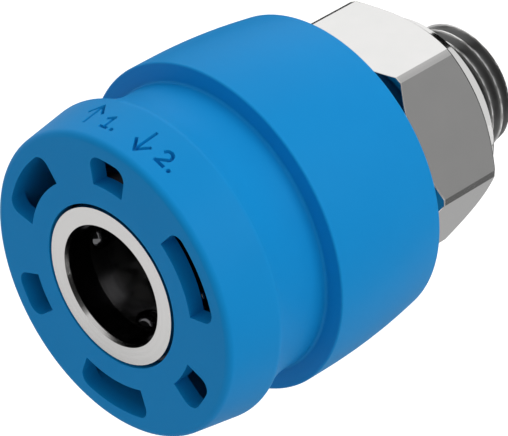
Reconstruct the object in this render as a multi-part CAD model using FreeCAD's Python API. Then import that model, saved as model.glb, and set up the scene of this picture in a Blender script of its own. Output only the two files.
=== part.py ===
import FreeCAD, Part
import os
from math import atan2, cos, hypot, pi, radians, sin, tan

# Pneumatic coupling socket with a two-stage safety sleeve. Lengths are in millimetres.
# The axis lies along Y with the mouth at the front (-Y) and the thread at the rear (+Y).
# A station is a distance behind the mouth face. The origin is on the axis in the sealing face.

# Clearances shared by all pieces
press_gap = 0.02
running_gap = 0.05
stop_gap = 0.05
seal_gap = 0.03

# Travel of the sleeve: to the rear to vent, to the front to release
vent_travel = 2.2
release_travel = 2.5

# Bore for the plug, and the locking balls that stand into it
plug_bore_radius = 6.0
mouth_chamfer = 0.16
mouth_chamfer_length = 0.45
guide_length = 2.6
guide_relief = 0.2
ball_radius = 1.5
ball_count = 4
ball_reach = 0.55
ball_lift_spare = 0.05
ball_pocket_gap = 0.05

# Release ring round the balls
lock_land_length = 1.2
lock_spare_travel = 0.3
ring_wall = 0.5
ring_flange_length = 1.2
spring_flange_gap = 0.22
spring_flange_length = 0.8
spring_flange_setback = 1.2
release_spring_length = 5.15
release_wire_radius = 0.35
release_spring_turns = 3.25

# Spring wire, in straight lengths with a many-sided section
wire_sides = 8
wire_lengths_per_turn = 20

# Open clips on the tube and in the slide
clip_thickness = 0.8
clip_opening = 30.0
stop_clip_depth = 0.5
stop_clip_height = 1.2
drive_clip_gap = 0.4
drive_clip_depth = 0.75

# Tube behind the mouth
tube_front_wall = 1.9
tube_step = 0.5
tube_rear_wall = 1.15
bulkhead_step = 0.5
valve_seat_width = 1.15
plug_bore_depth = 11.0
lead_in_length = 1.0
plug_seal_setback = 0.5
plug_seal_length = 1.8
plug_seal_depth = 1.0
plug_seal_lip = 0.2
valve_seat_setback = 1.5

# Shut-off valve
poppet_flow_gap = 0.4
poppet_wall = 1.1
poppet_nose_length = 4.2
poppet_nose_floor = 1.4
poppet_notch_width = 1.6
poppet_notch_depth = 0.7
valve_cord_radius = 0.43
seal_flange_radius_cut = 0.5
seal_flange_length = 0.6
guide_flange_length = 0.9
guide_flange_across_flats = 10.2
valve_wire_radius = 0.3
valve_spring_gap = 0.2
valve_spring_turns = 6.0

# Ports through the tube and the control slide over them
port_radius = 0.6
port_count = 10
port_wall = 0.2
bulkhead_length = 1.6
bulkhead_groove_depth = 0.9
bulkhead_groove_length = 0.9
vent_chamber_height = 0.3
vent_chamber_setback = 0.35
vent_hole_radius = 0.8
vent_hole_count = 6
seal_land = 0.3
slide_groove_length = 1.0
slide_groove_depth = 0.87
flow_chamber_depth = 1.0
slide_nose_length = 1.8
slide_nose_wall = 1.35
slide_land_length = 2.0
slide_waist_height = 3.2
slide_rear_wall = 0.7
slide_tail_wall = 0.65
slide_tail_overlap = 0.2
vent_notch_width = 3.0
vent_notch_depth = 1.6

# Moulded sleeve: front plate with windows, tapered collar, waist and crowned drum
plate_thickness = 1.7
mouth_gap = 0.34
cavity_depth = 4.0
window_width = 3.0
long_window_angle = 40.0
short_window_angle = 20.0
window_pairs = 3
window_corner = 1.0
front_wall = 1.67
crease_wall = 2.54
waist_wall = 0.95
drum_front_wall = 2.99
drum_rear_wall = 1.98
front_round = 0.72
crease_round = 1.07
waist_rear_round = 0.3
drum_front_round = 0.2
drum_rear_round = 0.3
crease_station = 5.745
waist_length = 4.2
waist_share = 0.8
drum_front_station = 13.07
crown_station = 20.78
crown_share = 0.8
slide_seat_setback = 0.77
slide_seat_step = 0.2
bead_height = 0.25
bead_length = 0.6

# Rear body: hexagon, sealing collar and male pipe thread
hex_front_gap = 0.26
spring_pocket_height = 2.0
spring_pocket_spare = 0.3
vent_wire_radius = 0.45
vent_spring_turns = 5.25
tube_socket_depth = 3.74
socket_floor = 2.6
body_groove_setback = 1.27
body_groove_length = 1.2
body_groove_depth = 0.85
hex_sides = 6
hex_wall = 1.6
hex_corner_height = 1.5
hex_face_setback = 0.55
hex_chamfer_slope = 0.71
collar_radius = 9.5
collar_length = 1.58
thread_radius = 6.5785
thread_length = 6.2
thread_chamfer = 0.6
flow_bore_radius = 4.2

# Radii, from the plug bore outwards
tube_front_radius = plug_bore_radius + tube_front_wall
tube_radius = tube_front_radius - tube_step
rear_bore_radius = tube_radius - tube_rear_wall
valve_bore_radius = rear_bore_radius - bulkhead_step
seat_bore_radius = valve_bore_radius - valve_seat_width
ball_centre_radius = plug_bore_radius - ball_reach + ball_radius
ball_lift = ball_reach + ball_lift_spare
cone_slope = ball_lift / release_travel
ball_to_cone = ball_radius * hypot(1.0, cone_slope)
lock_land_radius = ball_centre_radius + ball_to_cone + cone_slope * lock_spare_travel + seal_gap
ring_chamber_radius = lock_land_radius + cone_slope * (release_travel - lock_spare_travel)
ring_radius = ring_chamber_radius + ring_wall
stop_clip_radius = tube_radius + stop_clip_height
slide_bore_radius = tube_radius + running_gap
guide_bore_radius = ring_radius + running_gap
cavity_radius = ring_radius + cavity_depth
slide_land_radius = cavity_radius + slide_seat_step - running_gap
spring_pocket_radius = tube_radius + spring_pocket_height
slide_tail_radius = spring_pocket_radius - running_gap
slide_tail_bore_radius = slide_tail_radius - slide_tail_wall

# Stations, from the mouth face to the rear
ring_front = plate_thickness + vent_travel + stop_gap
lock_land_end = ring_front + lock_land_length
ball_station = lock_land_end - lock_spare_travel
spring_flange_front = ball_station + ball_radius + ball_pocket_gap + spring_flange_setback
spring_flange_rear = spring_flange_front + spring_flange_length
ring_flange_front = spring_flange_rear + release_spring_length
ring_rear = ring_flange_front + ring_flange_length
clip_front = ring_rear + stop_gap
clip_rear = clip_front + clip_thickness
seal_groove_front = plug_bore_depth + lead_in_length + plug_seal_setback
seal_groove_rear = seal_groove_front + plug_seal_length
valve_seat = seal_groove_rear + valve_seat_setback
vent_chamber_front = clip_rear + vent_chamber_setback
vent_chamber_rear = clip_rear + release_travel + seal_land
front_groove_front = vent_chamber_rear + seal_land
front_groove_rear = front_groove_front + slide_groove_length
working_port = front_groove_rear + port_wall + port_radius
bulkhead_front = working_port + port_radius + port_wall
bulkhead_rear = bulkhead_front + bulkhead_length
supply_port = bulkhead_rear + port_wall + port_radius
flow_chamber_rear = supply_port + port_radius + seal_land
rear_groove_front = flow_chamber_rear + seal_land
rear_groove_rear = rear_groove_front + slide_groove_length
slide_rear = rear_groove_rear + slide_rear_wall
slide_seat = drum_front_station - slide_seat_setback
slide_land_front = slide_seat + stop_gap
sleeve_rear = slide_rear + bead_length
hex_front = sleeve_rear + vent_travel + hex_front_gap
slide_tail_rear = hex_front + release_travel + slide_tail_overlap
vent_spring_seat = slide_tail_rear + vent_travel + spring_pocket_spare
tube_rear = vent_spring_seat + tube_socket_depth
sealing_face = tube_rear + socket_floor
hex_rear = sealing_face - collar_length
thread_end = sealing_face + thread_length

axis = FreeCAD.Vector(0, 1, 0)
origin = FreeCAD.Vector(0, 0, 0)
full_turn = 360.0
same_point = 1e-6


def on_axis(station, radius=0.0, angle=0.0):
    """Point at a station and radius, with the angle counted from +X towards +Z."""
    turn = radians(angle)
    return FreeCAD.Vector(radius * cos(turn), station - sealing_face, radius * sin(turn))


def turned(outline, sweep=full_turn):
    """Solid of revolution from (radius, station) corners, or (radius, station, rounding)."""
    corners = [on_axis(corner[1], corner[0]) for corner in outline]
    rounds = [corner[2] if len(corner) > 2 else 0.0 for corner in outline]
    arrivals = []
    departures = []
    for index, corner in enumerate(corners):
        back = (corners[index - 1] - corner).normalize()
        ahead = (corners[(index + 1) % len(corners)] - corner).normalize()
        reach = rounds[index] / tan(back.getAngle(ahead) / 2) if rounds[index] else 0.0
        arrivals.append(corner + back * reach)
        departures.append(corner + ahead * reach)
    edges = []
    for index, corner in enumerate(corners):
        if rounds[index]:
            inwards = ((arrivals[index] + departures[index]) * 0.5 - corner).normalize()
            centre_distance = hypot(rounds[index], (arrivals[index] - corner).Length)
            crown = corner + inwards * (centre_distance - rounds[index])
            edges.append(Part.Arc(arrivals[index], crown, departures[index]).toShape())
        following = arrivals[(index + 1) % len(corners)]
        if (following - departures[index]).Length > same_point:
            edges.append(Part.LineSegment(departures[index], following).toShape())
    return Part.Face(Part.Wire(edges)).revolve(origin, axis, sweep)


def ring(inner, outer, front, rear, sweep=full_turn):
    """Plain ring or, with a smaller sweep, an open clip."""
    return turned([(inner, front), (outer, front), (outer, rear), (inner, rear)], sweep)


def disc(radius, front, rear):
    """Plain cylinder on the axis between two stations."""
    return Part.makeCylinder(radius, rear - front, on_axis(front), axis)


def cord_ring(inner, outer, middle):
    """Seal ring of round cord between two radii, at a station."""
    return Part.makeTorus((inner + outer) / 2, (outer - inner) / 2, on_axis(middle), axis)


def radial_holes(radius, count, station, inner, outer, first_angle=0.0):
    """Drilled holes through a wall, evenly spaced round the axis."""
    holes = []
    for index in range(count):
        angle = first_angle + index * full_turn / count
        direction = on_axis(sealing_face, 1.0, angle)
        holes.append(Part.makeCylinder(radius, outer - inner, on_axis(station, inner, angle), direction))
    return holes


def coil_spring(mean_radius, wire_radius, front, rear, turns):
    """Compression spring between two seats, its round wire drawn as short straight lengths."""
    start = front + wire_radius + press_gap
    rise = rear - front - 2 * (wire_radius + press_gap)
    steps = round(turns * wire_lengths_per_turn)
    sections = []
    for step in range(steps + 1):
        share = step / steps
        corners = []
        for side in range(wire_sides):
            around = 2 * pi * side / wire_sides
            corners.append(on_axis(start + rise * share + wire_radius * sin(around),
                                   mean_radius + wire_radius * cos(around),
                                   full_turn * turns * share))
        sections.append(Part.makePolygon(corners + corners[:1]))
    return Part.makeLoft(sections, True, True)


def ball_angles():
    """Angles of the locking balls round the bore."""
    return [index * full_turn / ball_count for index in range(ball_count)]


def make_socket_tube():
    """Turned tube with the mouth, ball pockets, plug seal groove, valve seat and ports."""
    tube = turned([
        (plug_bore_radius + mouth_chamfer, 0.0),
        (tube_front_radius, 0.0),
        (tube_front_radius, spring_flange_front),
        (lock_land_radius - spring_flange_gap, spring_flange_front),
        (lock_land_radius - spring_flange_gap, spring_flange_rear),
        (tube_radius, spring_flange_rear),
        (tube_radius, clip_front),
        (tube_radius - stop_clip_depth, clip_front),
        (tube_radius - stop_clip_depth, clip_rear),
        (tube_radius, clip_rear),
        (tube_radius, tube_rear),
        (rear_bore_radius, tube_rear),
        (rear_bore_radius, bulkhead_front),
        (valve_bore_radius, bulkhead_front),
        (valve_bore_radius, valve_seat),
        (seat_bore_radius, valve_seat),
        (seat_bore_radius, seal_groove_rear),
        (seat_bore_radius + plug_seal_depth, seal_groove_rear),
        (seat_bore_radius + plug_seal_depth, seal_groove_front),
        (seat_bore_radius, seal_groove_front),
        (seat_bore_radius, plug_bore_depth + lead_in_length),
        (plug_bore_radius + guide_relief, plug_bore_depth),
        (plug_bore_radius + guide_relief, mouth_chamfer_length + guide_length),
        (plug_bore_radius, mouth_chamfer_length + guide_length),
        (plug_bore_radius, mouth_chamfer_length),
    ])
    cuts = radial_holes(port_radius, port_count, working_port, seat_bore_radius, stop_clip_radius)
    cuts += radial_holes(port_radius, port_count, supply_port, seat_bore_radius, stop_clip_radius)
    pocket_radius = ball_radius + ball_pocket_gap
    shafts = radial_holes(pocket_radius, ball_count, ball_station, ball_centre_radius, ring_radius)
    for angle, shaft in zip(ball_angles(), shafts):
        bottom = Part.makeSphere(pocket_radius, on_axis(ball_station, ball_centre_radius, angle))
        cuts.append(shaft.fuse(bottom))
    return tube.cut(cuts)


def make_release_ring():
    """Hardened ring: locking land over the balls, release cone, spring chamber and rear flange."""
    cone_end = lock_land_end + release_travel - lock_spare_travel
    return turned([
        (lock_land_radius, ring_front),
        (ring_radius, ring_front),
        (ring_radius, ring_rear),
        (slide_bore_radius, ring_rear),
        (slide_bore_radius, ring_flange_front),
        (ring_chamber_radius, ring_flange_front),
        (ring_chamber_radius, cone_end),
        (lock_land_radius, lock_land_end),
    ])


def make_release_spring():
    """Spring from the tube's flange to the release ring's rear flange."""
    mean_radius = (tube_radius + lock_land_radius) / 2
    return coil_spring(mean_radius, release_wire_radius, spring_flange_rear, ring_flange_front,
                       release_spring_turns)


def make_ring_stop():
    """Open clip in the tube's groove that the release ring rests against."""
    clip = ring(tube_radius - stop_clip_depth + press_gap, stop_clip_radius,
                clip_front + press_gap, clip_rear - press_gap, full_turn - clip_opening)
    return clip


def make_drive_ring():
    """Open clip in the slide's groove, behind the release ring's flange."""
    inner = stop_clip_radius + drive_clip_gap
    outer = guide_bore_radius + drive_clip_depth - press_gap
    return ring(inner, outer, clip_front + press_gap, clip_rear - press_gap, full_turn - clip_opening)


def make_control_slide():
    """Turned slide: guide for the release ring, seal grooves, flow chamber, outer lands and rear tail."""
    waist_radius = tube_radius + slide_waist_height
    nose_radius = guide_bore_radius + slide_nose_wall
    groove_radius = slide_bore_radius + slide_groove_depth
    vent_radius = stop_clip_radius + vent_chamber_height
    clip_groove_radius = guide_bore_radius + drive_clip_depth
    front_land_rear = slide_land_front + slide_land_length
    rear_land_front = slide_rear - slide_land_length
    slide = turned([
        (guide_bore_radius, slide_land_front - slide_nose_length),
        (nose_radius, slide_land_front - slide_nose_length),
        (nose_radius, slide_land_front),
        (slide_land_radius, slide_land_front),
        (slide_land_radius, front_land_rear),
        (clip_groove_radius + slide_nose_wall, front_land_rear),
        (clip_groove_radius + slide_nose_wall, vent_chamber_front),
        (waist_radius, vent_chamber_front),
        (waist_radius, rear_land_front),
        (slide_land_radius, rear_land_front),
        (slide_land_radius, slide_rear),
        (slide_tail_radius, slide_rear),
        (slide_tail_radius, slide_tail_rear),
        (slide_tail_bore_radius, slide_tail_rear),
        (slide_tail_bore_radius, slide_rear),
        (slide_bore_radius, slide_rear),
        (slide_bore_radius, rear_groove_rear),
        (groove_radius, rear_groove_rear),
        (groove_radius, rear_groove_front),
        (slide_bore_radius, rear_groove_front),
        (slide_bore_radius, flow_chamber_rear),
        (slide_bore_radius + flow_chamber_depth, flow_chamber_rear),
        (slide_bore_radius + flow_chamber_depth, front_groove_rear + seal_land),
        (slide_bore_radius, front_groove_rear + seal_land),
        (slide_bore_radius, front_groove_rear),
        (groove_radius, front_groove_rear),
        (groove_radius, front_groove_front),
        (slide_bore_radius, front_groove_front),
        (slide_bore_radius, vent_chamber_rear),
        (vent_radius, vent_chamber_rear),
        (vent_radius, vent_chamber_front),
        (guide_bore_radius, vent_chamber_front),
        (guide_bore_radius, clip_rear),
        (clip_groove_radius, clip_rear),
        (clip_groove_radius, clip_front),
        (guide_bore_radius, clip_front),
    ])
    vent_station = (vent_chamber_front + vent_chamber_rear) / 2
    cuts = radial_holes(vent_hole_radius, vent_hole_count, vent_station, tube_radius, slide_land_radius)
    for index in range(vent_hole_count):
        notch = Part.makeBox(2 * vent_notch_depth, slide_land_length, vent_notch_width)
        notch.translate(on_axis(slide_land_front) + FreeCAD.Vector(
            slide_land_radius - vent_notch_depth, 0, -vent_notch_width / 2))
        notch.rotate(origin, axis, index * full_turn / vent_hole_count)
        cuts.append(notch)
    return slide.cut(cuts)


def make_slide_oring(groove_front):
    """Seal in one of the slide's grooves, close round the tube."""
    inner = tube_radius + seal_gap
    outer = slide_bore_radius + slide_groove_depth - press_gap
    return cord_ring(inner, outer, groove_front + slide_groove_length / 2)


def make_vent_spring():
    """Spring from the rear body's pocket to the control slide, inside the slide's tail."""
    mean_radius = (tube_radius + slide_tail_bore_radius) / 2
    return coil_spring(mean_radius, vent_wire_radius, slide_rear, vent_spring_seat, vent_spring_turns)


def make_bulkhead_plug():
    """Plug pressed against the step in the tube, with a seal groove."""
    radius = rear_bore_radius - press_gap
    groove_front = bulkhead_front + (bulkhead_length - bulkhead_groove_length) / 2
    return turned([
        (0.0, bulkhead_front),
        (radius, bulkhead_front),
        (radius, groove_front),
        (radius - bulkhead_groove_depth, groove_front),
        (radius - bulkhead_groove_depth, groove_front + bulkhead_groove_length),
        (radius, groove_front + bulkhead_groove_length),
        (radius, bulkhead_rear),
        (0.0, bulkhead_rear),
    ])


def make_bulkhead_oring():
    """Seal in the bulkhead plug's groove."""
    outer = rear_bore_radius - press_gap
    inner = outer - bulkhead_groove_depth + press_gap
    return cord_ring(inner, outer, bulkhead_front + bulkhead_length / 2)


def make_plug_seal():
    """Lip seal for the plug's nose, its lip open towards the pressure."""
    outer = seat_bore_radius + plug_seal_depth - press_gap
    lip = seat_bore_radius - plug_seal_lip
    front = seal_groove_front + press_gap
    rear = seal_groove_rear - press_gap
    throat = (front + rear) / 2
    middle = (outer + lip) / 2
    return turned([
        (seat_bore_radius, front),
        (outer, front),
        (outer, rear),
        (outer - plug_seal_lip, rear),
        (middle, throat),
        (lip + plug_seal_lip, rear),
        (lip, rear),
        (lip, throat),
    ])


def poppet_flange_front():
    """Station of the poppet's seal flange, behind the seal that rests on the seat."""
    return valve_seat + seal_gap + 2 * valve_cord_radius + press_gap


def poppet_floor():
    """Station of the spring's seat inside the poppet's nose."""
    return valve_seat - poppet_nose_length + poppet_nose_floor


def make_valve_poppet():
    """Hollow poppet: notched nose that the plug pushes, seal flange and four-sided guide flange."""
    nose_radius = seat_bore_radius - poppet_flow_gap
    bore_radius = nose_radius - poppet_wall
    nose_front = valve_seat - poppet_nose_length
    flange_front = poppet_flange_front()
    guide_front = flange_front + seal_flange_length
    guide_rear = guide_front + guide_flange_length
    body = disc(nose_radius, nose_front, guide_front)
    body = body.fuse(disc(valve_bore_radius - seal_flange_radius_cut, flange_front, guide_front))
    flats = Part.makeBox(guide_flange_across_flats, guide_flange_length, guide_flange_across_flats)
    flats.translate(on_axis(guide_front) - FreeCAD.Vector(1, 0, 1) * (guide_flange_across_flats / 2))
    body = body.fuse(disc(valve_bore_radius - running_gap, guide_front, guide_rear).common(flats))
    cuts = [disc(bore_radius, poppet_floor(), guide_rear)]
    for quarter in (0.0, 90.0):
        notch = Part.makeBox(2 * nose_radius, poppet_notch_depth, poppet_notch_width)
        notch.translate(on_axis(nose_front) - FreeCAD.Vector(nose_radius, 0, poppet_notch_width / 2))
        notch.rotate(origin, axis, quarter)
        cuts.append(notch)
    return body.cut(cuts).removeSplitter()


def make_valve_seal():
    """Seal ring on the poppet, resting on the valve seat."""
    inner = seat_bore_radius - poppet_flow_gap + press_gap
    middle = valve_seat + seal_gap + valve_cord_radius
    return cord_ring(inner, inner + 2 * valve_cord_radius, middle)


def make_valve_spring():
    """Spring from the bulkhead plug into the poppet's nose."""
    bore_radius = seat_bore_radius - poppet_flow_gap - poppet_wall
    mean_radius = bore_radius - valve_spring_gap - valve_wire_radius
    return coil_spring(mean_radius, valve_wire_radius, poppet_floor(), bulkhead_front, valve_spring_turns)


def window(angle, span):
    """Pocket through the front plate: sharp inner corners, rounded outer corners."""
    inner = cavity_radius - window_width
    half = span / 2
    tools = []
    for radius in (inner, cavity_radius):
        tools.append(disc(radius, 0.0, plate_thickness))
    pocket = tools[1].cut(tools[0])
    reach = 2 * cavity_radius
    corners = [on_axis(0.0), on_axis(0.0, reach, angle - half), on_axis(0.0, reach, angle + half)]
    wedge = Part.Face(Part.makePolygon(corners + corners[:1]))
    pocket = pocket.common(wedge.extrude(axis * plate_thickness))
    outer_edges = []
    for edge in pocket.Edges:
        along_axis = edge.Length > 0 and abs(edge.tangentAt(edge.FirstParameter).dot(axis)) > 0.99
        middle = edge.CenterOfMass
        if along_axis and hypot(middle.x, middle.z) > (inner + cavity_radius) / 2:
            outer_edges.append(edge)
    return pocket.makeFillet(window_corner, outer_edges)


def make_outer_sleeve():
    """Moulded sleeve: plate, collar that swells to a crease, hollow waist, and drum crowned to the rear."""
    mouth_radius = tube_front_radius + mouth_gap
    seat_radius = cavity_radius + slide_seat_step
    waist_radius = cavity_radius + waist_wall
    waist_front = drum_front_station - waist_length
    waist_fall = atan2(crease_wall - waist_wall, waist_front - crease_station)
    waist_slope = hypot(crease_wall - waist_wall, waist_front - crease_station)
    waist_round = waist_share * min(waist_slope, waist_length) / tan(waist_fall / 2)
    drum_radius = cavity_radius + drum_front_wall
    crown_length = sleeve_rear - crown_station
    crown_fall = atan2(drum_front_wall - drum_rear_wall, crown_length)
    crown_round = crown_share * crown_length / tan(crown_fall / 2)
    sleeve = turned([
        (mouth_radius, 0.0),
        (cavity_radius + front_wall, 0.0, front_round),
        (cavity_radius + crease_wall, crease_station, crease_round),
        (waist_radius, waist_front, waist_round),
        (waist_radius, drum_front_station, waist_rear_round),
        (drum_radius, drum_front_station, drum_front_round),
        (drum_radius, crown_station, crown_round),
        (cavity_radius + drum_rear_wall, sleeve_rear, drum_rear_round),
        (seat_radius, sleeve_rear),
        (seat_radius - bead_height, sleeve_rear - bead_length / 2),
        (seat_radius, slide_rear + stop_gap),
        (seat_radius, slide_seat),
        (cavity_radius, slide_seat),
        (cavity_radius, plate_thickness),
        (mouth_radius, plate_thickness),
    ])
    windows = []
    spacing = full_turn / window_pairs
    for index in range(window_pairs):
        windows.append(window(spacing / 4 + index * spacing, long_window_angle))
        windows.append(window(spacing * 3 / 4 + index * spacing, short_window_angle))
    return sleeve.cut(windows)


def make_rear_body():
    """Hexagon bar turned to a chamfered hexagon, sealing collar and threaded spigot."""
    flat_distance = spring_pocket_radius + hex_wall
    corner_radius = flat_distance + hex_corner_height
    face_radius = flat_distance - hex_face_setback
    chamfer = (corner_radius - face_radius) * hex_chamfer_slope
    corner_points = [on_axis(hex_front, flat_distance / cos(pi / hex_sides), k * full_turn / hex_sides)
                     for k in range(hex_sides + 1)]
    bar = Part.Face(Part.makePolygon(corner_points)).extrude(axis * (hex_rear - hex_front))
    blank = turned([
        (0.0, hex_front),
        (face_radius, hex_front),
        (corner_radius, hex_front + chamfer),
        (corner_radius, hex_rear - chamfer),
        (face_radius, hex_rear),
        (0.0, hex_rear),
    ])
    spigot = turned([
        (0.0, hex_rear),
        (collar_radius, hex_rear),
        (collar_radius, sealing_face),
        (thread_radius, sealing_face),
        (thread_radius, thread_end - thread_chamfer),
        (thread_radius - thread_chamfer, thread_end),
        (0.0, thread_end),
    ])
    socket_radius = tube_radius + press_gap
    groove_front = vent_spring_seat + body_groove_setback
    bores = [
        disc(spring_pocket_radius, hex_front, vent_spring_seat),
        disc(socket_radius, vent_spring_seat, tube_rear),
        disc(socket_radius + body_groove_depth, groove_front, groove_front + body_groove_length),
        disc(flow_bore_radius, tube_rear, thread_end),
    ]
    return bar.common(blank).fuse(spigot).removeSplitter().cut(bores)


def make_tube_oring():
    """Seal in the rear body's groove, round the tube."""
    inner = tube_radius + press_gap
    outer = tube_radius + body_groove_depth
    return cord_ring(inner, outer, vent_spring_seat + body_groove_setback + body_groove_length / 2)


def make_pieces():
    """All pieces by name, in the order in which they go together."""
    pieces = {
        "rear_body": make_rear_body(),
        "tube_oring": make_tube_oring(),
        "socket_tube": make_socket_tube(),
        "plug_seal": make_plug_seal(),
        "valve_poppet": make_valve_poppet(),
        "valve_seal": make_valve_seal(),
        "valve_spring": make_valve_spring(),
        "bulkhead_plug": make_bulkhead_plug(),
        "bulkhead_oring": make_bulkhead_oring(),
        "release_ring": make_release_ring(),
        "release_spring": make_release_spring(),
        "ring_stop": make_ring_stop(),
        "control_slide": make_control_slide(),
        "drive_ring": make_drive_ring(),
        "slide_oring_front": make_slide_oring(front_groove_front),
        "slide_oring_rear": make_slide_oring(rear_groove_front),
        "vent_spring": make_vent_spring(),
        "outer_sleeve": make_outer_sleeve(),
    }
    for number, angle in enumerate(ball_angles(), start=1):
        centre = on_axis(ball_station, ball_centre_radius, angle)
        pieces[f"locking_ball_{number}"] = Part.makeSphere(ball_radius, centre)
    return pieces


os.makedirs("parts", exist_ok=True)
for name, shape in make_pieces().items():
    shape.exportStep(f"parts/{name}.step")
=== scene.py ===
from math import acos, asin, atan2, cos, degrees, hypot, pi, radians, sin, tan

import bmesh
import bpy
from mathutils import Matrix, Vector


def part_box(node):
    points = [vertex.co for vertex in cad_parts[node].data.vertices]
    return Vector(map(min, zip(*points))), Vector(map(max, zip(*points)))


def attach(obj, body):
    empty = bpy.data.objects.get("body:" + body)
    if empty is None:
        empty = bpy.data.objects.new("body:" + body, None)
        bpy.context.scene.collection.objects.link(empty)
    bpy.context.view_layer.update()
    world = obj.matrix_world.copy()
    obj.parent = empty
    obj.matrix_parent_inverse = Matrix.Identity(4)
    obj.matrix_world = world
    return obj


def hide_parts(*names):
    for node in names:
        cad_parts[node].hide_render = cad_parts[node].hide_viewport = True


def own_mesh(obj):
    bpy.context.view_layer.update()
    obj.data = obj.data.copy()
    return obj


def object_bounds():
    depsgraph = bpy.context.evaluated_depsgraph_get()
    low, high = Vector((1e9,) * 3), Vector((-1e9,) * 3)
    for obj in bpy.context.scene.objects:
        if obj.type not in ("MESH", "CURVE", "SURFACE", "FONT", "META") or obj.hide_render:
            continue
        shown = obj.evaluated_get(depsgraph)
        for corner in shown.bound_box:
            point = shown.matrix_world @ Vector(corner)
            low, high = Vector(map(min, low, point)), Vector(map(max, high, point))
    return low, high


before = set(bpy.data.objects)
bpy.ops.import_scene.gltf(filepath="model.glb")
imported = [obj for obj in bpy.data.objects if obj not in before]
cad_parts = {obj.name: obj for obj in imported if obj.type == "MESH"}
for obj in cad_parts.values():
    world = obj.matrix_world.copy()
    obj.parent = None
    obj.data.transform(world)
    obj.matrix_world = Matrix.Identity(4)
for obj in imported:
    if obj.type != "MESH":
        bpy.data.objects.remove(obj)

cad_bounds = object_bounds()

# Rear body: hexagon bar of brass, turned down to a sealing collar and a male pipe thread, then
# nickel plated bright. It screws into the supply by its thread, and the tube is pressed into it.
mm = 0.001
body_low, body_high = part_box("rear_body")
hex_front = body_low.y / mm
thread_end = body_high.y / mm
hex_flat = body_high.z / mm
hex_corner = body_high.x / mm
hex_sides = 6
hex_face_inset = 0.55
hex_face = hex_flat - hex_face_inset
hex_chamfer_slope = 0.71
collar_radius = 9.5
collar_length = 1.58
collar_flare = 0.14
collar_edge = 0.2
flow_bore = 4.2
tube_socket = 7.42
tube_socket_front = -6.34
tube_socket_rear = -2.6
seal_groove = 8.27
seal_groove_front = -5.07
seal_groove_rear = -3.87
spring_pocket = 9.4
edge_round = 0.09
hex_front_round = 0.15
hex_rear_round = 0.3
full_turn = 360.0

thread_crest = 6.5785
thread_pitch = 1.337
thread_start_angle = 148.0
thread_depth = 0.856
thread_sharp_ratio = 0.9605
thread_cut_parts = 12
thread_sharp_height = thread_sharp_ratio * thread_pitch
thread_cut_off = thread_sharp_height / thread_cut_parts
thread_chamfer = 0.6
thread_run_out = 0.7
thread_row = 0.05


def smooth_step(value):
    """Eases from 0 to 1 as the value goes from 0 to 1."""
    value = min(max(value, 0.0), 1.0)
    return value * value * (3 - 2 * value)


def rounded(outline, arc_steps=4):
    """Closed section of (radius, y) points from corners of (radius, y) or (radius, y, rounding)."""
    points = []
    for index, corner in enumerate(outline):
        here = Vector(corner[:2])
        rounding = corner[2] if len(corner) > 2 else 0.0
        if not rounding:
            points.append(here)
            continue
        back = (Vector(outline[index - 1][:2]) - here).normalized()
        ahead = (Vector(outline[(index + 1) % len(outline)][:2]) - here).normalized()
        half = back.angle(ahead) / 2
        centre = here + (back + ahead).normalized() * (rounding / sin(half))
        start = here + back * (rounding / tan(half)) - centre
        finish = here + ahead * (rounding / tan(half)) - centre
        for step in range(arc_steps + 1):
            share = step / arc_steps
            points.append(centre + (start * (1 - share) + finish * share).normalized() * rounding)
    return points


def new_piece(name, points, faces):
    """Object of a closed mesh, its faces turned to look outwards."""
    mesh = bpy.data.meshes.new(name)
    mesh.from_pydata(points, [], faces)
    shape = bmesh.new()
    shape.from_mesh(mesh)
    bmesh.ops.recalc_face_normals(shape, faces=shape.faces)
    shape.to_mesh(mesh)
    shape.free()
    piece = bpy.data.objects.new(name, mesh)
    bpy.context.scene.collection.objects.link(piece)
    return piece


def turned_piece(name, angles, section):
    """Object swept round the axis through one closed section for each angle, in degrees."""
    points = []
    for angle in angles:
        turn = radians(angle)
        for radius, y in section(angle):
            points.append(Vector((radius * cos(turn), y, radius * sin(turn))) * mm)
    rows = len(points) // len(angles)
    faces = []
    for column in range(len(angles)):
        beside = (column + 1) % len(angles)
        for row in range(rows):
            above = (row + 1) % rows
            faces.append((column * rows + row, column * rows + above,
                          beside * rows + above, beside * rows + row))
    return new_piece(name, points, faces)


def smooth_faces(piece, sharp_angle=30.0):
    """Smooth shading with sharp edges kept, and large faces flat up to their rounded edges."""
    piece.data.shade_smooth()
    piece.data.set_sharp_from_angle(angle=radians(sharp_angle))
    weighted = piece.modifiers.new("weighted_normals", "WEIGHTED_NORMAL")
    weighted.keep_sharp = True


def thread_radius(angle, y):
    """Radius of the right-hand pipe thread, with rounded crests and roots."""
    phase = y / thread_pitch + (angle - thread_start_angle) / full_turn
    from_crest = abs(phase - round(phase)) * 2
    fall = (from_crest * thread_sharp_height - thread_cut_off) / thread_depth
    cut = thread_depth * smooth_step(fall) * smooth_step(y / thread_run_out)
    chamfer_cone = thread_crest - thread_chamfer + (thread_end - y)
    return min(thread_crest - cut, chamfer_cone)


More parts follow.
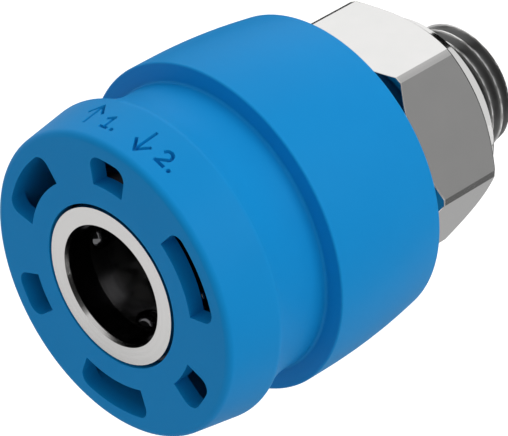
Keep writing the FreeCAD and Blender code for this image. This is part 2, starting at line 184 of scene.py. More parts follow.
def body_section(angle):
    """Section of the rear body at an angle round the axis."""
    side_angle = full_turn / hex_sides
    from_flat = angle % side_angle - side_angle / 2
    side = min(hex_flat / cos(radians(from_flat)), hex_corner)
    chamfer = (side - hex_face) * hex_chamfer_slope
    outline = [
        (spring_pocket, hex_front, edge_round),
        (hex_face, hex_front, edge_round),
        (side, hex_front + chamfer, hex_front_round),
        (side, -collar_length - chamfer, hex_rear_round),
        (hex_face, -collar_length, edge_round),
        (collar_radius - collar_flare, -collar_length),
        (collar_radius + collar_flare * (1 - 2 * collar_edge / collar_length), -collar_edge),
        (collar_radius + collar_flare, 0.0, edge_round),
        (collar_radius - collar_edge, 0.0),
    ]
    rows = round(thread_end / thread_row)
    for row in range(rows + 1):
        y = thread_end * row / rows
        outline.append((thread_radius(angle, y), y))
    outline += [
        (flow_bore, thread_end, edge_round),
        (flow_bore, tube_socket_rear),
        (tube_socket, tube_socket_rear),
        (tube_socket, seal_groove_rear),
        (seal_groove, seal_groove_rear),
        (seal_groove, seal_groove_front),
        (tube_socket, seal_groove_front),
        (tube_socket, tube_socket_front),
        (spring_pocket, tube_socket_front),
    ]
    return rounded(outline)


def body_angles():
    """Angles round the body, evenly spaced on each flat and on each corner strip."""
    flat_steps = 37
    strip_steps = 3
    flat_half = degrees(acos(hex_flat / hex_corner))
    strip_half = full_turn / hex_sides / 2 - flat_half
    angles = []
    for index in range(hex_sides):
        corner = index * full_turn / hex_sides
        for step in range(strip_steps):
            angles.append(corner - strip_half + 2 * strip_half * step / strip_steps)
        for step in range(flat_steps):
            angles.append(corner + strip_half + 2 * flat_half * step / flat_steps)
    return angles


def linear(colour):
    """Linear RGBA from an sRGB hex colour, by the sRGB standard's curve."""
    channels = []
    for place in (1, 3, 5):
        value = int(colour[place:place + 2], 16) / 255
        channels.append(value / 12.92 if value <= 0.04045 else ((value + 0.055) / 1.055) ** 2.4)
    return (*channels, 1.0)


def add_node(tree, kind, settings=None, inputs=None):
    """Adds a node with its settings, and sets or links its inputs."""
    made = tree.nodes.new(kind)
    for name, value in (settings or {}).items():
        setattr(made, name, value)
    for name, value in (inputs or {}).items():
        if isinstance(value, bpy.types.NodeSocket):
            tree.links.new(value, made.inputs[name])
        else:
            made.inputs[name].default_value = value
    return made


def new_material(name):
    """Empty node material, with its tree and the output's surface left to the caller."""
    material = bpy.data.materials.new(name)
    material.use_nodes = True
    material.node_tree.nodes.clear()
    return material, material.node_tree


def pattern_scale(size):
    """Texture scale, in cells per metre, of a pattern with cells of that size in mm."""
    return 1 / (size * mm)


def nickel_plate():
    """Bright nickel on turned brass: a little cloudy, and dull in the thread's grooves, with
    painted shade darkening them.
    """
    cloud_size = 2.5
    # The plate's own grain is finer. This is as coarse as it needs to show.
    grain_size = 0.25
    grain_height = 0.02 * mm
    crest_land = 0.03
    groove_top = (thread_crest - crest_land) * mm
    groove_shade = 0.16 * mm
    thread_roughness = 0.28
    material, tree = new_material("nickel_plate")
    place = add_node(tree, "ShaderNodeTexCoord")
    clouds = add_node(tree, "ShaderNodeTexNoise", inputs={
        "Vector": place.outputs["Object"], "Scale": pattern_scale(cloud_size), "Detail": 3.0})
    roughness = add_node(tree, "ShaderNodeMapRange", inputs={
        "Value": clouds.outputs["Fac"], "To Min": 0.06, "To Max": 0.13})
    grain = add_node(tree, "ShaderNodeTexNoise", inputs={
        "Vector": place.outputs["Object"], "Scale": pattern_scale(grain_size), "Detail": 2.0})
    relief = add_node(tree, "ShaderNodeBump", inputs={
        "Height": grain.outputs["Fac"], "Strength": 0.02, "Distance": grain_height})
    tint = add_node(tree, "ShaderNodeMix", {"data_type": "RGBA"}, {"Factor": clouds.outputs["Fac"]})
    tint.inputs["A"].default_value = linear("#c6c6c5")
    tint.inputs["B"].default_value = linear("#cccbca")
    parts = add_node(tree, "ShaderNodeSeparateXYZ", inputs={"Vector": place.outputs["Object"]})
    flat = add_node(tree, "ShaderNodeCombineXYZ", inputs={
        "X": parts.outputs["X"], "Y": parts.outputs["Z"]})
    radius = add_node(tree, "ShaderNodeVectorMath", {"operation": "LENGTH"}, {
        "Vector": flat.outputs["Vector"]})
    below_crest = add_node(tree, "ShaderNodeMapRange", inputs={
        "Value": radius.outputs["Value"],
        "From Min": groove_top, "From Max": groove_top - groove_shade})
    on_thread = add_node(tree, "ShaderNodeMapRange", inputs={
        "Value": parts.outputs["Y"], "From Min": 0.0, "From Max": groove_shade})
    groove_painted_shade = add_node(tree, "ShaderNodeMath", {"operation": "MULTIPLY"})
    tree.links.new(below_crest.outputs["Result"], groove_painted_shade.inputs[0])
    tree.links.new(on_thread.outputs["Result"], groove_painted_shade.inputs[1])
    metal = add_node(tree, "ShaderNodeMix", {"data_type": "RGBA"}, {
        "Factor": groove_painted_shade.outputs["Value"]})
    tree.links.new(tint.outputs["Result"], metal.inputs["A"])
    # Painted shade: the thread's grooves are darkened to this grey by the mask above.
    metal.inputs["B"].default_value = linear("#929292")
    dulled = add_node(tree, "ShaderNodeMapRange", inputs={
        "Value": on_thread.outputs["Result"],
        "To Min": roughness.outputs["Result"], "To Max": thread_roughness})
    shader = add_node(tree, "ShaderNodeBsdfPrincipled", inputs={
        "Base Color": metal.outputs["Result"], "Metallic": 1.0,
        "Roughness": dulled.outputs["Result"], "Normal": relief.outputs["Normal"]})
    add_node(tree, "ShaderNodeOutputMaterial", inputs={"Surface": shader.outputs["BSDF"]})
    return material


rear_body = turned_piece("rear_body_plated", body_angles(), body_section)
smooth_faces(rear_body, sharp_angle=20.0)
rear_body.data.materials.append(nickel_plate())
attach(rear_body, "socket")
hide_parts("rear_body")


# Socket tube: turned from steel and plated, its mouth ground bright, and its bore darkened with
# painted shade.
# It is pressed into the rear body, and carries the balls, the seal, the valve and the slide.
def plated_tube_steel():
    """Ground steel ring, with painted shade darkening its bore, and fine turning lines round the
    axis.
    """
    bore_edge = 6.17 * mm
    edge_blur = 0.02 * mm
    bright_depth = 0.4 * mm
    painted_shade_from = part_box("socket_tube")[0].y + bright_depth
    # The tool's real lines are closer. These are as coarse as they need to show.
    line_size = 0.3
    line_height = 0.02 * mm
    material, tree = new_material("plated_tube_steel")
    place = add_node(tree, "ShaderNodeTexCoord")
    parts = add_node(tree, "ShaderNodeSeparateXYZ", inputs={"Vector": place.outputs["Object"]})
    flat = add_node(tree, "ShaderNodeCombineXYZ", inputs={
        "X": parts.outputs["X"], "Y": parts.outputs["Z"]})
    radius = add_node(tree, "ShaderNodeVectorMath", {"operation": "LENGTH"}, {
        "Vector": flat.outputs["Vector"]})
    inside = add_node(tree, "ShaderNodeMapRange", inputs={
        "Value": radius.outputs["Value"],
        "From Min": bore_edge + edge_blur, "From Max": bore_edge - edge_blur})
    behind = add_node(tree, "ShaderNodeMapRange", inputs={
        "Value": parts.outputs["Y"],
        "From Min": painted_shade_from - edge_blur, "From Max": painted_shade_from + edge_blur})
    bore_painted_shade = add_node(tree, "ShaderNodeMath", {"operation": "MULTIPLY"})
    tree.links.new(inside.outputs["Result"], bore_painted_shade.inputs[0])
    tree.links.new(behind.outputs["Result"], bore_painted_shade.inputs[1])
    # Painted shade: behind the mouth the bore gets a dark grey in place of the ring's bright steel.
    tint = add_node(tree, "ShaderNodeMix", {"data_type": "RGBA"}, {"Factor": bore_painted_shade.outputs["Value"]})
    tint.inputs["A"].default_value = linear("#c0bfbe")
    tint.inputs["B"].default_value = linear("#4e4e50")
    along = add_node(tree, "ShaderNodeCombineXYZ", inputs={
        "X": radius.outputs["Value"], "Y": parts.outputs["Y"]})
    lines = add_node(tree, "ShaderNodeTexNoise", inputs={
        "Vector": along.outputs["Vector"], "Scale": pattern_scale(line_size), "Detail": 4.0})
    roughness = add_node(tree, "ShaderNodeMapRange", inputs={
        "Value": lines.outputs["Fac"], "To Min": 0.1, "To Max": 0.2})
    relief = add_node(tree, "ShaderNodeBump", inputs={
        "Height": lines.outputs["Fac"], "Strength": 0.05, "Distance": line_height})
    shader = add_node(tree, "ShaderNodeBsdfPrincipled", inputs={
        "Base Color": tint.outputs["Result"], "Metallic": 1.0,
        "Roughness": roughness.outputs["Result"], "Normal": relief.outputs["Normal"]})
    add_node(tree, "ShaderNodeOutputMaterial", inputs={"Surface": shader.outputs["BSDF"]})
    return material


def finish_nodes(material, *nodes):
    """Gives the named pieces their material; some of these carry painted shade."""
    for node in nodes:
        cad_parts[node].data.materials.clear()
        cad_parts[node].data.materials.append(material)


finish_nodes(plated_tube_steel(), "socket_tube")


# Seals: moulded from black nitrile rubber. They are four O-rings in turned grooves, the poppet's
# seal, and the ring that closes round the plug's nose, each stretched or pressed into its place.
def seal_rubber():
    """Black nitrile rubber: dull, with the faint cloudiness of a moulded seal."""
    bloom_size = 0.4
    material, tree = new_material("seal_rubber")
    place = add_node(tree, "ShaderNodeTexCoord")
    bloom = add_node(tree, "ShaderNodeTexNoise", inputs={
        "Vector": place.outputs["Object"], "Scale": pattern_scale(bloom_size), "Detail": 3.0})
    tint = add_node(tree, "ShaderNodeMix", {"data_type": "RGBA"}, {"Factor": bloom.outputs["Fac"]})
    tint.inputs["A"].default_value = linear("#161616")
    tint.inputs["B"].default_value = linear("#222222")
    shader = add_node(tree, "ShaderNodeBsdfPrincipled", inputs={
        "Base Color": tint.outputs["Result"], "Roughness": 0.55, "IOR": 1.52})
    add_node(tree, "ShaderNodeOutputMaterial", inputs={"Surface": shader.outputs["BSDF"]})
    return material


finish_nodes(seal_rubber(), "tube_oring", "plug_seal", "valve_seal", "bulkhead_oring",
             "slide_oring_front", "slide_oring_rear")


# Valve: a poppet turned from black acetal that the plug's nose pushes off its seat, and behind it
# a bulkhead turned from brass, which sits in the tube between the supply and the working side.
def black_acetal():
    """Black turned polyacetal, with a faint sheen in its fine tool lines."""
    # The tool's real lines are closer. These are as coarse as they need to show.
    line_size = 0.15
    material, tree = new_material("black_acetal")
    place = add_node(tree, "ShaderNodeTexCoord")
    lines = add_node(tree, "ShaderNodeTexNoise", inputs={
        "Vector": place.outputs["Object"], "Scale": pattern_scale(line_size), "Detail": 3.0})
    roughness = add_node(tree, "ShaderNodeMapRange", inputs={
        "Value": lines.outputs["Fac"], "To Min": 0.25, "To Max": 0.4})
    shader = add_node(tree, "ShaderNodeBsdfPrincipled", inputs={
        "Base Color": linear("#151516"), "Roughness": roughness.outputs["Result"], "IOR": 1.48})
    add_node(tree, "ShaderNodeOutputMaterial", inputs={"Surface": shader.outputs["BSDF"]})
    return material


def turned_metal(name, dark, light, line_size, rough_low, rough_high):
    """Turned metal, with tool lines round the axis that vary its tone and gloss."""
    # The tool's real lines are closer. Each metal's are as coarse as they need to show.
    line_height = 0.02 * mm
    material, tree = new_material(name)
    place = add_node(tree, "ShaderNodeTexCoord")
    parts = add_node(tree, "ShaderNodeSeparateXYZ", inputs={"Vector": place.outputs["Object"]})
    flat = add_node(tree, "ShaderNodeCombineXYZ", inputs={
        "X": parts.outputs["X"], "Y": parts.outputs["Z"]})
    radius = add_node(tree, "ShaderNodeVectorMath", {"operation": "LENGTH"}, {
        "Vector": flat.outputs["Vector"]})
    along = add_node(tree, "ShaderNodeCombineXYZ", inputs={
        "X": radius.outputs["Value"], "Y": parts.outputs["Y"]})
    lines = add_node(tree, "ShaderNodeTexNoise", inputs={
        "Vector": along.outputs["Vector"], "Scale": pattern_scale(line_size), "Detail": 4.0})
    tint = add_node(tree, "ShaderNodeMix", {"data_type": "RGBA"}, {"Factor": lines.outputs["Fac"]})
    tint.inputs["A"].default_value = linear(dark)
    tint.inputs["B"].default_value = linear(light)
    roughness = add_node(tree, "ShaderNodeMapRange", inputs={
        "Value": lines.outputs["Fac"], "To Min": rough_low, "To Max": rough_high})
    relief = add_node(tree, "ShaderNodeBump", inputs={
        "Height": lines.outputs["Fac"], "Strength": 0.1, "Distance": line_height})
    shader = add_node(tree, "ShaderNodeBsdfPrincipled", inputs={
        "Base Color": tint.outputs["Result"], "Metallic": 1.0,
        "Roughness": roughness.outputs["Result"], "Normal": relief.outputs["Normal"]})
    add_node(tree, "ShaderNodeOutputMaterial", inputs={"Surface": shader.outputs["BSDF"]})
    return material


finish_nodes(black_acetal(), "valve_poppet")
# Bare brass: warm yellow, with the tool's lines bright in its shine.
turned_brass = turned_metal("turned_brass", dark="#9c8348", light="#b89a58", line_size=0.2,
                            rough_low=0.2, rough_high=0.35)
finish_nodes(turned_brass, "bulkhead_plug")


# Springs: coiled cold from round drawn steel wire, left bare and slightly oiled. Each sits loose
# between two shoulders; the real one shortens as its joint moves, but each coil here keeps one
# length.
wire_sides = 12
wire_steps_per_turn = 36
# Bare drawn wire: mid grey, with a soft shine from the oil on it.
spring_steel = turned_metal("spring_steel", dark="#77777a", light="#909093", line_size=0.15,
                            rough_low=0.25, rough_high=0.4)


def coil_spring(node, wire_radius, turns):
    """Coil of round wire in the place of a spring's node, running its whole length at its outer
    radius.
    """
    low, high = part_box(node)
    mean_radius = high.x - wire_radius * mm
    first = low.y + wire_radius * mm
    rise = high.y - low.y - 2 * wire_radius * mm
    steps = round(turns * wire_steps_per_turn)
    points = []
    for step in range(steps + 1):
        turn = 2 * pi * turns * step / steps
        for side in range(wire_sides):
            around = 2 * pi * side / wire_sides
            radius = mean_radius + wire_radius * mm * cos(around)
            y = first + rise * step / steps + wire_radius * mm * sin(around)
            points.append((radius * cos(turn), y, radius * sin(turn)))
    faces = [range(wire_sides), range(steps * wire_sides, (steps + 1) * wire_sides)]
    for step in range(steps):
        for side in range(wire_sides):
            beside = (side + 1) % wire_sides
            faces.append((step * wire_sides + side, step * wire_sides + beside,
                          (step + 1) * wire_sides + beside, (step + 1) * wire_sides + side))
    spring = new_piece(f"{node}_wire", points, faces)
    smooth_faces(spring, sharp_angle=60.0)
    spring.data.materials.append(spring_steel)
    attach(spring, "socket")
    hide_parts(node)
    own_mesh(spring)


coil_spring("valve_spring", wire_radius=0.3, turns=6.0)
coil_spring("release_spring", wire_radius=0.35, turns=3.25)
coil_spring("vent_spring", wire_radius=0.45, turns=5.25)


# Clips: open rings stamped from spring steel strip and left bare. One snaps into the tube's groove,
# where the release ring rests against it, the other into the slide's, and pulls that ring forward.
finish_nodes(spring_steel, "ring_stop", "drive_ring")


# Locking balls: four balls of bearing steel, ground and polished. They lie loose in pockets drilled
# through the tube, where the release ring holds them in the plug's groove.
# Polished bearing steel, its grey darkened as painted shade; it also mirrors the dark bore, so that
# only small glints show.
ball_steel = turned_metal("ball_steel", dark="#58585a", light="#606062", line_size=0.8,
                          rough_low=0.05, rough_high=0.1)
finish_nodes(ball_steel, "locking_ball_1", "locking_ball_2", "locking_ball_3", "locking_ball_4")


# Release ring: turned from steel, hardened and ground, with its grey darkened as painted shade.
# It slides on the tube round the balls, pressed to the rear by its spring, and lets them out
# when it is pulled forward.
# Hardened and ground steel, with a dull shine; its dark grey is painted shade for the inside of the
# sleeve.
hardened_steel = turned_metal("hardened_steel", dark="#3c3c40", light="#48484c", line_size=0.2,
                              rough_low=0.25, rough_high=0.4)
finish_nodes(hardened_steel, "release_ring")


# Control slide: turned from aluminium and anodised blue. It runs on the tube by its two seals,
# opens and shuts the tube's ports, and carries the sleeve.
# Anodised aluminium: an even deep blue, with a soft metal shine.
blue_anodised_aluminium = turned_metal("blue_anodised_aluminium", dark="#12548c", light="#165c96",
                                       line_size=0.2, rough_low=0.35, rough_high=0.5)
finish_nodes(blue_anodised_aluminium, "control_slide")


# Outer sleeve: moulded in one piece from blue plastic, with a windowed front plate, a collar with
# two sunk marks that show how it is worked, a waist and a drum. It snaps over the control slide.
sleeve_low, sleeve_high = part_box("outer_sleeve")
mouth_face = sleeve_low.y / mm
sleeve_length = sleeve_high.y / mm - mouth_face
drum_radius = sleeve_high.x / mm
drum_wall = 2.99
cavity_radius = drum_radius - drum_wall
plate_thickness = 1.7
mouth_radius = 8.24
mouth_round = 0.06
front_wall = 1.67
front_radius = cavity_radius + front_wall
front_round = 0.72
crease_wall = 2.54
crease_radius = cavity_radius + crease_wall
crease_station = 5.745
crease_round = 1.07
waist_wall = 0.95
waist_radius = cavity_radius + waist_wall
waist_station = 8.87
waist_share = 0.8
waist_rear_round = 0.3
drum_station = 13.07
drum_front_round = 0.2
crown_station = 20.78
crown_share = 0.8
drum_rear_wall = 1.98
drum_rear_radius = cavity_radius + drum_rear_wall
drum_rear_round = 0.3
seat_depth = 0.2
seat_radius = cavity_radius + seat_depth
seat_station = 12.3
bead_height = 0.25
bead_radius = seat_radius - bead_height
bead_station = 26.9
bead_front = 26.65
window_reach = 3.07
window_inner = cavity_radius - window_reach
window_inset = 0.03
window_outer = cavity_radius - window_inset
long_window = 40.0
short_window = 20.0
window_pairs = 3
long_window_share = 0.25
short_window_share = 0.75
window_corner = 1.15
window_turn = 0.6
cutter_past_plate = 1.5
quarter_turn = 90.0

mark_depth = 0.5
mark_half_width = 0.12
mark_dot_radius = 0.18
mark_edge = 0.04
mark_reference = 90.0
mark_radius = 16.0
mark_front_station = 1.0
mark_rear_station = 5.0
mark_row = 0.05
mark_first_angle = 64.0
mark_last_angle = 115.0
mark_column = 0.2
plain_column = 1.25


def polar(radius, angle):
    """Point at a radius and an angle in degrees."""
    return Vector((cos(radians(angle)), sin(radians(angle)))) * radius


def arc(centre, radius, first, last, steps=12):
    """Points along an arc from a first to a last angle, in degrees."""
    turns = [first + (last - first) * step / steps for step in range(steps + 1)]
    return [Vector(centre) + polar(radius, turn) for turn in turns]


def strokes():
    """Strokes of the marks as (x, station) runs in mm, x going round the collar to the right."""
    runs = [
        [(-5.34, 2.0), (-5.34, 4.45)],
        [(-6.24, 3.5), (-5.34, 4.57), (-4.44, 3.5)],
        [(-3.17, 3.12), (-2.62, 3.47), (-2.62, 1.95)],
        [(-3.05, 1.95), (-2.3, 1.95)],
        [(2.07, 4.1), (2.07, 1.5)],
        [(1.2, 2.5), (2.07, 1.4), (2.94, 2.5)],
    ]
    two = arc(centre=(4.68, 3.05), radius=0.5, first=155.0, last=-28.0)
    return runs + [two + [(4.25, 2.0), (5.25, 2.0)]]


mark_dots = [Vector((-1.64, 2.0)), Vector((5.95, 2.05))]
mark_segments = []
for run in strokes():
    for start, finish in zip(run, run[1:]):
        mark_segments.append((Vector(start), Vector(finish) - Vector(start)))


def mark_sink(angle, station):
    """How deep the collar's surface is sunk by the marks at a place on it."""
    if not mark_first_angle < angle < mark_last_angle:
        return 0.0
    place = Vector((radians(mark_reference - angle) * mark_radius, station))
    nearest = min((place - dot).length for dot in mark_dots) - mark_dot_radius + mark_half_width
    for start, reach in mark_segments:
        along = (place - start).dot(reach) / reach.length
        beside = abs((place - start).cross(reach)) / reach.length
        nearest = min(nearest, max(beside, -along, along - reach.length))
    return mark_depth * smooth_step((mark_half_width + mark_edge - nearest) / (2 * mark_edge))


def sleeve_section(angle):
    """Section of the sleeve at an angle round the axis, its collar sunk where the marks are."""
    waist_fall = atan2(crease_radius - waist_radius, waist_station - crease_station)
    waist_slope = hypot(crease_radius - waist_radius, waist_station - crease_station)
    crown_length = sleeve_length - crown_station
    crown_fall = atan2(drum_radius - drum_rear_radius, crown_length)
    corners = rounded([
        (mouth_radius, 0.0, mouth_round),
        (front_radius, 0.0, front_round),
        (crease_radius, crease_station, crease_round),
        (waist_radius, waist_station, waist_share * waist_slope / tan(waist_fall / 2)),
        (waist_radius, drum_station, waist_rear_round),
        (drum_radius, drum_station, drum_front_round),
        (drum_radius, crown_station, crown_share * crown_length / tan(crown_fall / 2)),
        (drum_rear_radius, sleeve_length, drum_rear_round),
        (seat_radius, sleeve_length),
        (bead_radius, bead_station),
        (seat_radius, bead_front),
        (seat_radius, seat_station),
        (cavity_radius, seat_station),
        (cavity_radius, plate_thickness),
        (mouth_radius, plate_thickness),
    ], arc_steps=8)
    section = []
    for corner, following in zip(corners, corners[1:] + corners[:1]):
        section.append((corner.x, corner.y + mouth_face))
        if corner.y < mark_front_station and following.y > mark_rear_station:
            rows = round((following.y - corner.y) / mark_row)
            for row in range(1, rows):
                place = corner.lerp(following, row / rows)
                section.append((place.x - mark_sink(angle, place.y), place.y + mouth_face))
    return section


def sleeve_angles():
    """Angles round the sleeve, closer together where the marks are."""
    angles = []
    angle = 0.0
    while angle < full_turn - plain_column / 2:
        angles.append(angle)
        marked = mark_first_angle < angle < mark_last_angle
        angle += mark_column if marked else plain_column
    return angles


def window_cutter(name, middle, span):
    """Tool for one window of the front plate: sharp inner corners, rounded outer corners."""
    half = span / 2
    corner_distance = window_outer - window_corner
    corner_turn = half - degrees(asin(window_corner / corner_distance))
    outline = arc((0, 0), window_inner, half, -half)
    outline += arc(polar(corner_distance, -corner_turn), window_corner,
                   -half - quarter_turn, -corner_turn)
    outline += arc((0, 0), window_outer, -corner_turn, corner_turn)[1:-1]
    outline += arc(polar(corner_distance, corner_turn), window_corner,
                   corner_turn, half + quarter_turn)
    points = []
    for y in (mouth_face - plate_thickness, mouth_face + plate_thickness * cutter_past_plate):
        for point in outline:
            points.append(Vector((point.x, y, point.y)) * mm)
    count = len(outline)
    faces = [range(count), range(count, 2 * count)]
    for index in range(count):
        beside = (index + 1) % count
        faces.append((index, beside, beside + count, index + count))
    cutter = new_piece(name, points, faces)
    cutter.data.transform(Matrix.Rotation(-radians(middle), 4, "Y"))
    return cutter


def cut_away(piece, cutters):
    """Cuts the tools out of the piece, and removes them."""
    for cutter in cutters:
        cut = piece.modifiers.new("cut", "BOOLEAN")
        cut.operation = "DIFFERENCE"
        cut.solver = "EXACT"
        cut.object = cutter
    bpy.context.view_layer.update()
    shaped = piece.evaluated_get(bpy.context.evaluated_depsgraph_get())
    mesh = bpy.data.meshes.new_from_object(shaped)
    piece.modifiers.clear()
    piece.data = mesh
    for cutter in cutters:
        bpy.data.objects.remove(cutter)


def moulded_plastic():
    """Blue moulded polyacetal: satin, with the fine spark-eroded grain of the mould."""
    # The mould's real grain is finer. This is as coarse as it needs to show.
    grain_size = 0.16
    grain_height = 0.03 * mm
    cloud_size = 6.0
    material, tree = new_material("moulded_plastic")
    place = add_node(tree, "ShaderNodeTexCoord")
    clouds = add_node(tree, "ShaderNodeTexNoise", inputs={
        "Vector": place.outputs["Object"], "Scale": pattern_scale(cloud_size), "Detail": 2.0})
    grain = add_node(tree, "ShaderNodeTexNoise", inputs={
        "Vector": place.outputs["Object"], "Scale": pattern_scale(grain_size), "Detail": 2.0})
    tint = add_node(tree, "ShaderNodeMix", {"data_type": "RGBA"}, {"Factor": clouds.outputs["Fac"]})
    tint.inputs["A"].default_value = linear("#0b88cc")
    tint.inputs["B"].default_value = linear("#0f8cd0")
    roughness = add_node(tree, "ShaderNodeMapRange", inputs={
        "Value": grain.outputs["Fac"], "To Min": 0.4, "To Max": 0.52})
    relief = add_node(tree, "ShaderNodeBump", inputs={
        "Height": grain.outputs["Fac"], "Strength": 0.08, "Distance": grain_height})
    shader = add_node(tree, "ShaderNodeBsdfPrincipled", inputs={
        "Base Color": tint.outputs["Result"], "Roughness": roughness.outputs["Result"],
        "IOR": 1.48, "Specular IOR Level": 0.08, "Normal": relief.outputs["Normal"]})
    add_node(tree, "ShaderNodeOutputMaterial", inputs={"Surface": shader.outputs["BSDF"]})
    return material


outer_sleeve = turned_piece("outer_sleeve_moulded", sleeve_angles(), sleeve_section)
window_spacing = full_turn / window_pairs
cutters = []
for pair in range(window_pairs):
    long_middle = window_spacing * (pair + long_window_share) + window_turn
    short_middle = window_spacing * (pair + short_window_share) + window_turn
    cutters.append(window_cutter(f"long_window_{pair}", long_middle, long_window))
    cutters.append(window_cutter(f"short_window_{pair}", short_middle, short_window))
cut_away(outer_sleeve, cutters)
smooth_faces(outer_sleeve)
outer_sleeve.data.materials.append(moulded_plastic())
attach(outer_sleeve, "sleeve")
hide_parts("outer_sleeve")


# Studio: a floor of pale seamless paper well below the part, a white surround, a large softbox
# over the far side and a key lamp on the right. Grey, white and black cards stand round the part
# and show only as reflections in its bright metal.
floor_drop = 60 * mm
floor_size = 6.0
fill_level = 0.555
surround_colour = "#ffffff"
floor_colour = "#cfcfcf"
floor_lift = 0.55


def white_to_the_eye(tree):
    """1 for rays from the camera, and those that a mirror or glass sends on, else 0."""
    rays = add_node(tree, "ShaderNodeLightPath")
    direct = add_node(tree, "ShaderNodeMath", {"operation": "MAXIMUM"})
    tree.links.new(rays.outputs["Is Camera Ray"], direct.inputs[0])
    tree.links.new(rays.outputs["Is Glossy Ray"], direct.inputs[1])
    seen = add_node(tree, "ShaderNodeMath", {"operation": "MAXIMUM"})
    tree.links.new(direct.outputs["Value"], seen.inputs[0])
    tree.links.new(rays.outputs["Is Transmission Ray"], seen.inputs[1])
    return seen.outputs["Value"]


def floor_paper():
    """Pale seamless paper: its lit tone is lifted to white for the eye, and shadows stay."""
    material, tree = new_material("floor_paper")
    paper = add_node(tree, "ShaderNodeBsdfDiffuse", inputs={"Color": linear(floor_colour)})
    level = add_node(tree, "ShaderNodeMath", {"operation": "MULTIPLY"})
    tree.links.new(white_to_the_eye(tree), level.inputs[0])
    level.inputs[1].default_value = floor_lift
    lift = add_node(tree, "ShaderNodeEmission", inputs={"Strength": level.outputs["Value"]})
    both = add_node(tree, "ShaderNodeAddShader")
    tree.links.new(paper.outputs["BSDF"], both.inputs[0])
    tree.links.new(lift.outputs["Emission"], both.inputs[1])
    add_node(tree, "ShaderNodeOutputMaterial", inputs={"Surface": both.outputs["Shader"]})
    return material


floor_mesh = bpy.data.meshes.new("floor")
floor_height = cad_bounds[0][2] - floor_drop
half_floor = floor_size / 2
floor_corners = [(-half_floor, -half_floor), (half_floor, -half_floor),
                 (half_floor, half_floor), (-half_floor, half_floor)]
floor_mesh.from_pydata([(x, y, floor_height) for x, y in floor_corners], [], [(0, 1, 2, 3)])
floor_mesh.materials.append(floor_paper())
floor = bpy.data.objects.new("floor", floor_mesh)
bpy.context.scene.collection.objects.link(floor)

world = bpy.data.worlds.new("white_surround")
bpy.context.scene.world = world
world.use_nodes = True
world.node_tree.nodes.clear()
level = add_node(world.node_tree, "ShaderNodeMapRange", inputs={
    "Value": white_to_the_eye(world.node_tree), "To Min": fill_level, "To Max": 1.0})
surround = add_node(world.node_tree, "ShaderNodeBackground", inputs={
    "Color": linear(surround_colour), "Strength": level.outputs["Result"]})
add_node(world.node_tree, "ShaderNodeOutputWorld", inputs={
    "Surface": surround.outputs["Background"]})


def softbox(name, direction, distance, size, radiance):
    """Square lamp that faces the part. In reflections the cards stand in for it."""
    lamp = bpy.data.lights.new(name, "AREA")
    lamp.shape = "SQUARE"
    lamp.size = size
    lamp.energy = radiance * pi * size * size
    box = bpy.data.objects.new(name, lamp)
    box.location = Vector(direction).normalized() * distance
    box.rotation_euler = Vector(direction).to_track_quat("Z", "Y").to_euler()
    box.visible_camera = False
    box.visible_glossy = False
    bpy.context.scene.collection.objects.link(box)


softbox("far_softbox", direction=(-0.5, 0.3, 0.8), distance=0.7, size=0.8, radiance=0.75)
softbox("right_key", direction=(0.75, 0.22, 0.66), distance=0.8, size=0.6, radiance=2.6)


def card(name, points, faces, tones):
    """Sheet that shows in the metal only, with a tone for each of its points."""
    mesh = bpy.data.meshes.new(name)
    mesh.from_pydata(points, [], faces)
    tone_layer = mesh.attributes.new("tone", "FLOAT", "POINT")
    tone_layer.data.foreach_set("value", tones)
    material, tree = new_material(name)
    tone = add_node(tree, "ShaderNodeAttribute", {"attribute_name": "tone"})
    glow = add_node(tree, "ShaderNodeEmission", inputs={"Strength": tone.outputs["Fac"]})
    add_node(tree, "ShaderNodeOutputMaterial", inputs={"Surface": glow.outputs["Emission"]})
    mesh.materials.append(material)
    sheet = bpy.data.objects.new(name, mesh)
    sheet.visible_camera = False
    sheet.visible_diffuse = False
    sheet.visible_shadow = False
    bpy.context.scene.collection.objects.link(sheet)


def strip_card(name, stops, front, rear):
    """Card along the axis from front to rear, with a tone at each of its (x, z) places."""
    points, tones = [], []
    for (x, z), tone in stops:
        points += [(x, front, z), (x, rear, z)]
        tones += [tone, tone]
    faces = []
    for stop in range(len(stops) - 1):
        faces.append((2 * stop, 2 * stop + 1, 2 * stop + 3, 2 * stop + 2))
    card(name, points, faces, tones)


def end_card(name, y, hole, radius, tone):
    """Round card across the axis, with a hole in its middle."""
    sides = 48
    points, faces = [], []
    for side in range(sides):
        turn = 2 * pi * side / sides
        points.append((hole * cos(turn), y, hole * sin(turn)))
        points.append((radius * cos(turn), y, radius * sin(turn)))
        beside = (side + 1) % sides
        faces.append((2 * side, 2 * side + 1, 2 * beside + 1, 2 * beside))
    card(name, points, faces, [tone] * len(points))


card_radius = 0.5
card_height = floor_height + 1 * mm


def round_the_part(stops):
    """Stops of a card that stands round the part, from (angle, tone), angles up from the right."""
    return [(polar(card_radius, angle), tone) for angle, tone in stops]


def on_the_floor(stops):
    """Stops of a card that lies on the floor, from (x, tone), x in metres."""
    return [((x, card_height), tone) for x, tone in stops]


# Grey for the hexagon's right flat and upper corner, black for the top of collar and thread, and
# white for the top flat.
strip_card("side_card", round_the_part([
    (-8.0, 0.38), (15.0, 0.405), (35.0, 0.47), (60.0, 0.58), (75.0, 0.68), (85.0, 1.05)]),
    front=0.27, rear=1.2)
strip_card("black_flag", round_the_part([(86.0, 0.01), (98.0, 0.01), (111.0, 0.01)]),
           front=0.12, rear=1.2)
strip_card("top_card", round_the_part([(112.0, 1.4), (130.0, 1.4), (150.0, 1.4), (170.0, 1.4)]),
           front=0.0, rear=1.2)

# Grey for the lower flat, dark for the hexagon's rear edge, and grey for its lower corner.
strip_card("floor_card", on_the_floor([(-0.3, 0.5), (0.03, 0.5)]), front=-0.1, rear=0.12)
strip_card("rear_floor_card", on_the_floor([(-0.3, 0.03), (0.06, 0.03)]), front=0.12, rear=0.7)
strip_card("corner_card", on_the_floor([(0.06, 0.18), (0.13, 0.18)]), front=0.058, rear=0.6)

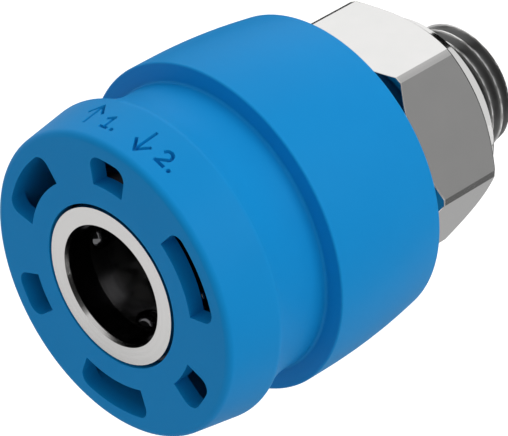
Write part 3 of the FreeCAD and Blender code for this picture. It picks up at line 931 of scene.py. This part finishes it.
# Dark for the lower side of the thread, and white for the collar's band.
strip_card("right_floor_card", on_the_floor([(0.13, 0.18), (0.4, 0.18)]), front=0.18, rear=0.6)
strip_card("band_card", round_the_part([(-9.0, 1.07), (20.0, 1.07), (45.0, 1.07), (85.0, 1.07)]),
           front=0.1, rear=0.27)

# Dark for the foot of the mouth's chamfer, the hexagon's far corner, and the chamfer's left.
strip_card("mouth_card", on_the_floor([(0.06, 0.18), (0.5, 0.18)]), front=-0.1, rear=0.0)
strip_card("left_flag", [((-0.25, -0.06), 0.02), ((-0.25, 0.0), 0.02), ((-0.25, 0.06), 0.02)],
           front=0.1, rear=0.3)
strip_card("right_flag", round_the_part([
    (-8.0, 0.03), (10.0, 0.03), (30.0, 0.03), (50.0, 0.1), (65.0, 0.6)]),
    front=-0.3, rear=0.05)

# Dark for the right side of the thread, for its flanks, and for the bore.
strip_card("far_floor_card", on_the_floor([(0.4, 0.1), (0.9, 0.1)]), front=0.3, rear=1.2)
end_card("rear_card", y=0.7, hole=0.02, radius=0.45, tone=0.03)
end_card("front_card", y=-0.6, hole=0.1, radius=0.8, tone=0.02)


# Camera: a long lens from the front right and above, along a diagonal of the part's own frame.
# Its place is given by where it sees the middle of the sleeve's mouth.
focal_pixels = 4000.0
image_width = 508
sensor_width = 36.0
mouth_from_camera = Vector((-13.0247, -6.2323, -363.163)) * mm
right = Vector((1, 1, 0)).normalized()
back = Vector((1, -1, 1)).normalized()
up = back.cross(right)
turn = Matrix((right, up, back)).transposed()
lens = bpy.data.cameras.new("camera")
lens.sensor_width = sensor_width
lens.sensor_fit = "HORIZONTAL"
lens.lens = focal_pixels * sensor_width / image_width
lens.clip_start = 0.01
camera = bpy.data.objects.new("camera", lens)
mouth_middle = Vector((0, mouth_face * mm, 0))
camera.matrix_world = Matrix.Translation(mouth_middle - turn @ mouth_from_camera) @ turn.to_4x4()
bpy.context.scene.collection.objects.link(camera)
bpy.context.scene.camera = camera
bpy.context.scene.view_settings.view_transform = "Standard"
